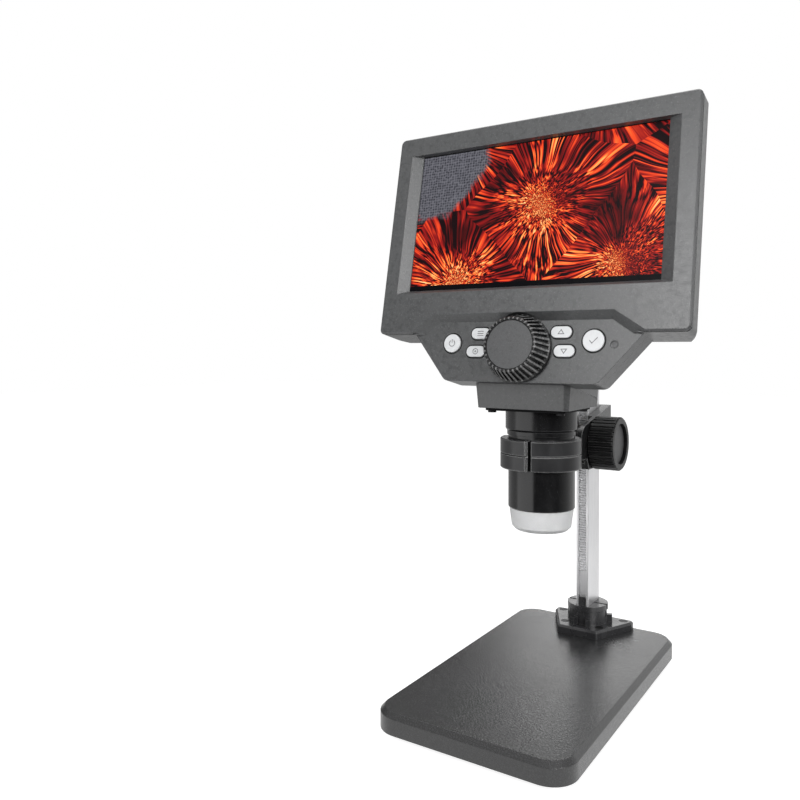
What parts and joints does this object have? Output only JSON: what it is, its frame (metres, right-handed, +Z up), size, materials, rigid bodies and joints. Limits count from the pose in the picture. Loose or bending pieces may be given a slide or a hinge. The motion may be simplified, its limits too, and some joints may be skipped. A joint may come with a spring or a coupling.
{
  "type": "lcd digital microscope",
  "caption": "Digital microscope with a large tilted screen and key panel over a vertical camera barrel, held in a clamp ring that racks up and down a post on a flat base.",
  "frame": {"origin": "centre of the part's bounding box in X and Y, at the underside of the rubber feet", "axes": "+Z up along the post, -Y towards the user, +X to the user's right"},
  "size_m": [0.177, 0.187, 0.3233],
  "materials": {
    "case_plastic": "fine moulded texture, dark grey",
    "base_paint": "satin, fine grain, dark grey",
    "gloss_black": "polished black",
    "knob_face": "satin dark grey",
    "aluminium": "satin anodised",
    "frosted": "frosted, translucent",
    "key_white": "satin white",
    "screen": "glossy display glass, lit picture",
    "steel": "zinc plated",
    "dark_steel": "blackened",
    "brass": "turned",
    "inner_black": "matte black",
    "rubber": "matte",
    "board_green": "solder mask",
    "battery_wrap": "plastic film",
    "led_clear": "clear epoxy",
    "light_pipe": "clear",
    "lens_glass": "coated optical glass",
    "sensor_glass": "cover glass"
  },
  "bodies": {
    "stand": {"base_shell": "base_paint", "base_weight": "steel", "base_cover": "inner_black", "base_screws": "steel", "rubber_feet": "rubber", "post_mount": "gloss_black", "mount_screws": "dark_steel", "post_bolt": "steel", "post": "aluminium", "post_cap": "inner_black", "post_rack": "aluminium"},
    "carriage": {"carriage_housing": "gloss_black", "holder_ring": "gloss_black", "ring_screws": "steel", "friction_pad": "inner_black", "tension_screws": "steel", "shaft_bushes": "brass"},
    "height_drive": {"height_shaft": "steel", "height_pinion": "brass", "height_knob": "gloss_black", "height_knob_cap": "knob_face", "shaft_clip": "steel"},
    "head": {"front_shell": "case_plastic", "rear_cover": "case_plastic", "case_screws": "steel", "neck_block": "case_plastic", "neck_plate": "gloss_black", "neck_screws": "dark_steel", "upper_barrel": "gloss_black", "lower_barrel": "gloss_black", "diffuser_cap": "frosted", "led_board": "board_green", "leds": "led_clear", "lcd_panel": "screen", "lcd_backlight": "steel", "main_board": "board_green", "battery": "battery_wrap", "usb_socket": "steel", "card_socket": "steel", "key_board": "board_green", "key_switches": "inner_black", "status_light": "light_pipe", "focus_bush": "brass", "optics_frame": "inner_black", "sensor_board": "board_green", "image_sensor": "sensor_glass"},
    "focus_drive": {"focus_knob": "gloss_black", "focus_knob_face": "knob_face", "focus_shaft": "steel", "focus_pinion": "brass"},
    "lens_unit": {"lens_carrier": "inner_black", "focus_rack": "inner_black", "front_lens": "lens_glass", "rear_lens": "lens_glass"},
    "power_key": {"power_button": "key_white"},
    "ok_key": {"ok_button": "key_white"},
    "up_key": {"up_button": "key_white"},
    "down_key": {"down_button": "key_white"},
    "menu_key": {"menu_button": "key_white"},
    "mode_key": {"mode_button": "key_white"}
  },
  "joints": [
    {"name": "carriage_slide", "type": "slide", "parent": "stand", "child": "carriage", "axis": [0, 0, 1], "range_m": [-0.078, 0.058]},
    {"name": "height_knob_turn", "type": "hinge", "parent": "carriage", "child": "height_drive", "pos_m": [0, 0.063, 0.1365], "axis": [1, 0, 0], "range_deg": [-836, 1123]},
    {"name": "head_swivel", "type": "hinge", "parent": "carriage", "child": "head", "pos_m": [0, 0.001, 0.1365], "axis": [0, 0, 1], "range_deg": [-45, 45]},
    {"name": "lens_focus", "type": "slide", "parent": "head", "child": "lens_unit", "axis": [0, 0, 1], "range_m": [-0.006, 0.006]},
    {"name": "focus_knob_turn", "type": "hinge", "parent": "head", "child": "focus_drive", "pos_m": [0, -0.0342, 0.19586], "axis": [0, -0.9799, 0.1994], "range_deg": [-115, 115]},
    {"name": "power_key_press", "type": "slide", "parent": "head", "child": "power_key", "axis": [0, 0.9799, -0.1994], "range_m": [0, 0.0006], "stiffness_N_per_m": 1200},
    {"name": "ok_key_press", "type": "slide", "parent": "head", "child": "ok_key", "axis": [0, 0.9799, -0.1994], "range_m": [0, 0.0006], "stiffness_N_per_m": 1200},
    {"name": "up_key_press", "type": "slide", "parent": "head", "child": "up_key", "axis": [0, 0.9799, -0.1994], "range_m": [0, 0.0006], "stiffness_N_per_m": 1200},
    {"name": "down_key_press", "type": "slide", "parent": "head", "child": "down_key", "axis": [0, 0.9799, -0.1994], "range_m": [0, 0.0006], "stiffness_N_per_m": 1200},
    {"name": "menu_key_press", "type": "slide", "parent": "head", "child": "menu_key", "axis": [0, 0.9799, -0.1994], "range_m": [0, 0.0006], "stiffness_N_per_m": 1200},
    {"name": "mode_key_press", "type": "slide", "parent": "head", "child": "mode_key", "axis": [0, 0.9799, -0.1994], "range_m": [0, 0.0006], "stiffness_N_per_m": 1200}
  ],
  "couplings": [
    {"joint": "height_knob_turn", "follows": "carriage_slide", "rad_per_m": -250},
    {"joint": "focus_knob_turn", "follows": "lens_focus", "rad_per_m": -326.64}
  ]
}
